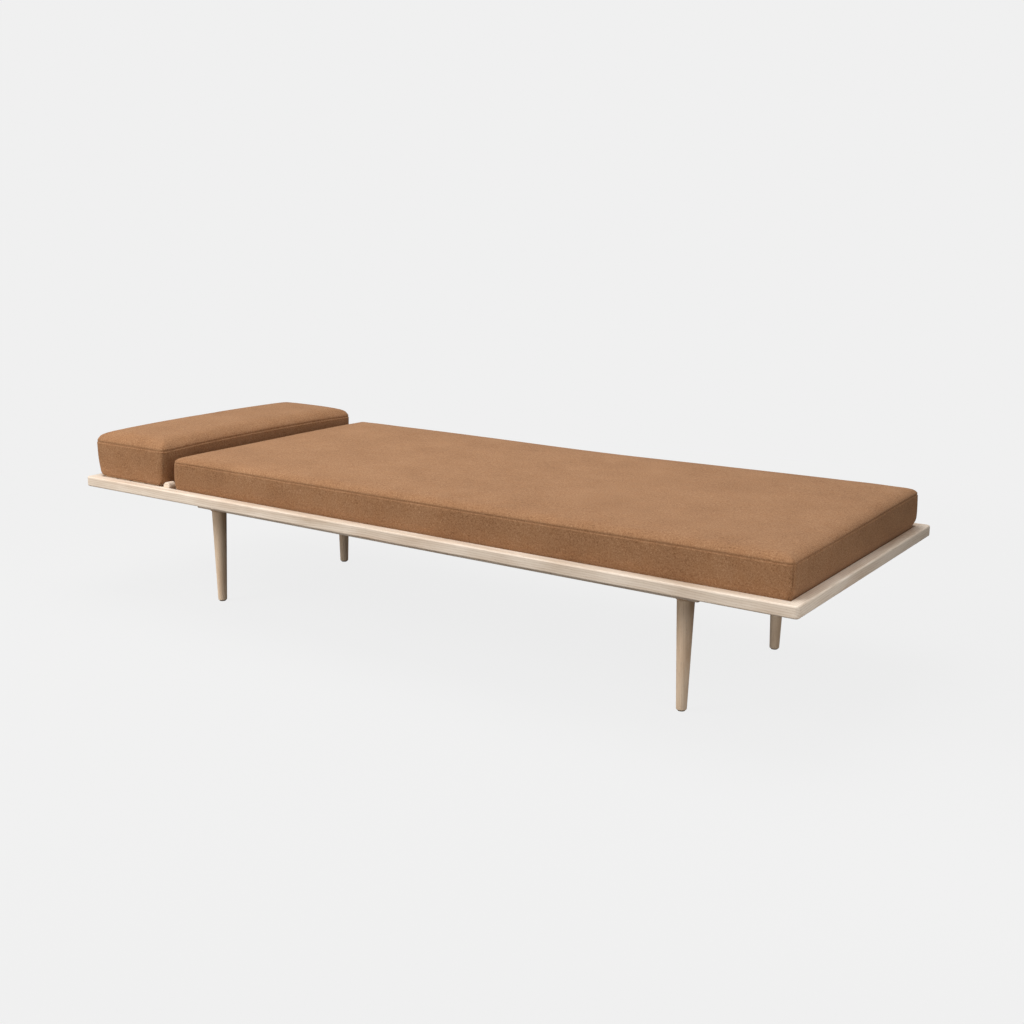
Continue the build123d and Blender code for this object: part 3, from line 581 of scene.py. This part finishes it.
def make_mattress(material):
    """The mattress: flat sides, a firm shoulder over the seam and a low, broad crown."""
    low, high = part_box("mattress_cover")
    pad = Pad(
        low,
        high,
        seam=low.z + MATTRESS_SEAM,
        shoulder=14.0 * MM,
        dome=5.0 * MM,
        dome_reach=130.0 * MM,
        corner=14.0 * MM,
        under_edge=7.0 * MM,
    )
    piece = pad.mesh("mattress")
    rail_low, rail_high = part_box("side_rail_back")
    rim_y = rail_low.y - RIM_CLEARANCE
    rim_top = rail_high.z + RIM_CLEARANCE

    def reshape(places):
        x, y, z = places.T
        height = smooth(z, low.z + 20.0 * MM, pad.seam)
        full = smooth(x, 0.15, 0.90) * (0.25 + 0.75 * smooth(y, -0.30, 0.36))
        slack = MATTRESS_SLACK * np.sin(x * 9.0 + 1.0) * np.sin(y * 11.0 + 0.6)
        z = z + height * (MATTRESS_SWELL * full + slack)
        over = smooth(z, rim_top, rim_top + RIM_BLEND)
        y = y + over * SIDE_OVERHANG * smooth(np.abs(y), 0.30, 0.37) * np.sign(y)
        x = x + over * FOOT_OVERHANG * smooth(x, 0.90, 0.97)
        y = np.where(z < rim_top, np.clip(y, -rim_y, rim_y), y)
        x = x + HEAD_SETBACK * (1.0 - smooth(x, low.x, low.x + 80.0 * MM))
        x = np.maximum(x, low.x)
        z = np.maximum(z, low.z)
        return np.stack([x, y, z], axis=1)

    finish_pad(piece, ("mattress_cover", "mattress_core"), "base", material, reshape)


CUSHION_SEAM = 85.1 * MM
CUSHION_SWELL = 6.0 * MM
CUSHION_RIM_CLEARANCE = 1.3 * MM
HEAD_LEAN = 12.0 * MM
HEAD_SHIFT = 3.0 * MM
FOOT_LEAN = 9.0 * MM
EDGE_DROOP = 2.2 * MM
RIM_DROOP = 3.4 * MM


def make_headrest_cushion(material):
    """The headrest cushion: plumper, its head face leaning out."""
    low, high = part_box("headrest_cushion_cover")
    anchor = low.copy()
    anchor.y = 0.0
    low.x = low.x + HEAD_LEAN
    pad = Pad(
        low,
        high,
        seam=low.z + CUSHION_SEAM,
        shoulder=22.0 * MM,
        dome=5.0 * MM,
        dome_reach=105.0 * MM,
        corner=20.0 * MM,
        under_edge=4.0 * MM,
    )
    piece = pad.mesh("headrest_cushion")
    slat_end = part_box("headrest_slat_1")[1].y + 1.5 * MM
    rim_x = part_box("end_rail_head")[1].x + RIM_CLEARANCE
    rail_low, rail_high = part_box("side_rail_back")
    rim_y = rail_low.y - CUSHION_RIM_CLEARANCE
    rim_top = rail_high.z + RIM_CLEARANCE

    def reshape(places):
        x, y, z = places.T
        share = np.clip((z - low.z) / (pad.seam - low.z), 0.0, 1.0)
        to_foot = (x - low.x) / (high.x - low.x)
        to_head = 1.0 - to_foot
        x = x + share * (FOOT_LEAN * to_foot - HEAD_LEAN * to_head) - HEAD_SHIFT * to_head
        middle = np.clip(1.0 - (y / 0.37) ** 2, 0.0, 1.0)
        z = z + smooth(z, low.z + 25.0 * MM, pad.seam) * CUSHION_SWELL * middle
        past_slats = smooth(np.abs(y), slat_end, slat_end + 4.0 * MM)
        droop = past_slats * (1.0 - smooth(z, low.z, low.z + 30.0 * MM))
        inside_rim = smooth(x, rim_x + 3.0 * MM, rim_x + 9.0 * MM)
        z = np.maximum(z, low.z) - droop * (EDGE_DROOP + RIM_DROOP * inside_rim)
        y = np.where(z < rim_top, np.clip(y, -rim_y, rim_y), y)
        return np.stack([x, y, z], axis=1)

    names = ("headrest_cushion_cover", "headrest_cushion_core")
    finish_pad(piece, names, "headrest", material, reshape)
    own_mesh(piece)


# ---- Stage ---------------------------------------------------------------------------------
BACKDROP = 0.871
FLOOR_REACH = 60.0
# The floor takes this share of real light and shadow near the object, and none further out.
SHADOW_SHARE = 0.05
SHADOW_NEAR = 1.2
SHADOW_FAR = 2.6
BOUNCE_COLOUR = (0.12, 0.105, 0.09, 1.0)
FILL_COLOUR = (1.0, 0.985, 0.965, 1.0)
FILL_STRENGTH = 0.36


def make_stage():
    """A plain pale floor that fades into an equally pale surround, with soft light all round."""
    mesh = bpy.data.meshes.new("floor")
    corners = [(x * FLOOR_REACH, y * FLOOR_REACH, 0) for x, y in ((-1, -1), (1, -1), (1, 1), (-1, 1))]
    mesh.from_pydata(corners, [], [(0, 1, 2, 3)])
    floor = bpy.data.objects.new("floor", mesh)
    scene.collection.objects.link(floor)

    s = Shader("pale_floor")
    place = s.place()
    distance = s.add("ShaderNodeVectorMath", {0: place}, operation="LENGTH").outputs["Value"]
    lit_share = s.span(distance, SHADOW_NEAR, SHADOW_FAR, SHADOW_SHARE, 0.0)
    paper = s.add("ShaderNodeBsdfDiffuse", {"Color": (0.80, 0.80, 0.80, 1.0)}).outputs[0]
    glow = s.add("ShaderNodeEmission", {"Color": (1, 1, 1, 1), "Strength": BACKDROP}).outputs[0]
    shown = s.add("ShaderNodeMixShader", {0: lit_share, 1: glow, 2: paper}).outputs[0]
    bounce = s.add("ShaderNodeBsdfDiffuse", {"Color": BOUNCE_COLOUR}).outputs[0]
    seen = s.add("ShaderNodeLightPath").outputs["Is Camera Ray"]
    surface = s.add("ShaderNodeMixShader", {0: seen, 1: bounce, 2: shown}).outputs[0]
    s.add("ShaderNodeOutputMaterial", {"Surface": surface})
    mesh.materials.append(s.material)

    world = bpy.data.worlds.new("studio")
    world.use_nodes = True
    tree = world.node_tree
    tree.nodes.clear()
    seen = tree.nodes.new("ShaderNodeLightPath").outputs["Is Camera Ray"]
    wall = tree.nodes.new("ShaderNodeBackground")
    wall.inputs[0].default_value = (1.0, 1.0, 1.0, 1.0)
    wall.inputs[1].default_value = BACKDROP
    fill = tree.nodes.new("ShaderNodeBackground")
    fill.inputs[0].default_value = FILL_COLOUR
    fill.inputs[1].default_value = FILL_STRENGTH
    both = tree.nodes.new("ShaderNodeMixShader")
    out = tree.nodes.new("ShaderNodeOutputWorld")
    tree.links.new(seen, both.inputs[0])
    tree.links.new(fill.outputs[0], both.inputs[1])
    tree.links.new(wall.outputs[0], both.inputs[2])
    tree.links.new(both.outputs[0], out.inputs[0])
    scene.world = world


def make_light(name, place, target, size, power, colour=(1.0, 1.0, 1.0)):
    """A soft rectangular lamp that lights the object but isn't seen itself."""
    data = bpy.data.lights.new(name, "AREA")
    data.shape = "RECTANGLE"
    data.size, data.size_y = size
    data.energy = power
    data.color = colour
    light = bpy.data.objects.new(name, data)
    light.location = place
    light.rotation_euler = (Vector(target) - Vector(place)).to_track_quat("-Z", "Y").to_euler()
    light.visible_camera = False
    scene.collection.objects.link(light)


make_camera()
camel_wool = wool("camel_wool")
dress_nodes(camel_wool)
make_mattress(camel_wool)
make_headrest_cushion(camel_wool)
make_stage()
make_light("key", (-2.6, -3.2, 2.9), (0.0, 0.0, 0.3), (2.4, 1.8), 120.0, (1.0, 0.98, 0.95))
make_light("overhead", (-0.2, 0.1, 3.4), (0.1, 0.0, 0.3), (3.0, 2.0), 74.0)
make_light("front_fill", (-1.7, -3.5, 0.85), (-0.5, -0.4, 0.2), (2.0, 0.8), 24.0)
make_light("foot_fill", (1.75, -0.72, 0.64), (1.0, -0.35, 0.34), (0.4, 0.3), 3.4)
scene.view_settings.view_transform = "Standard"
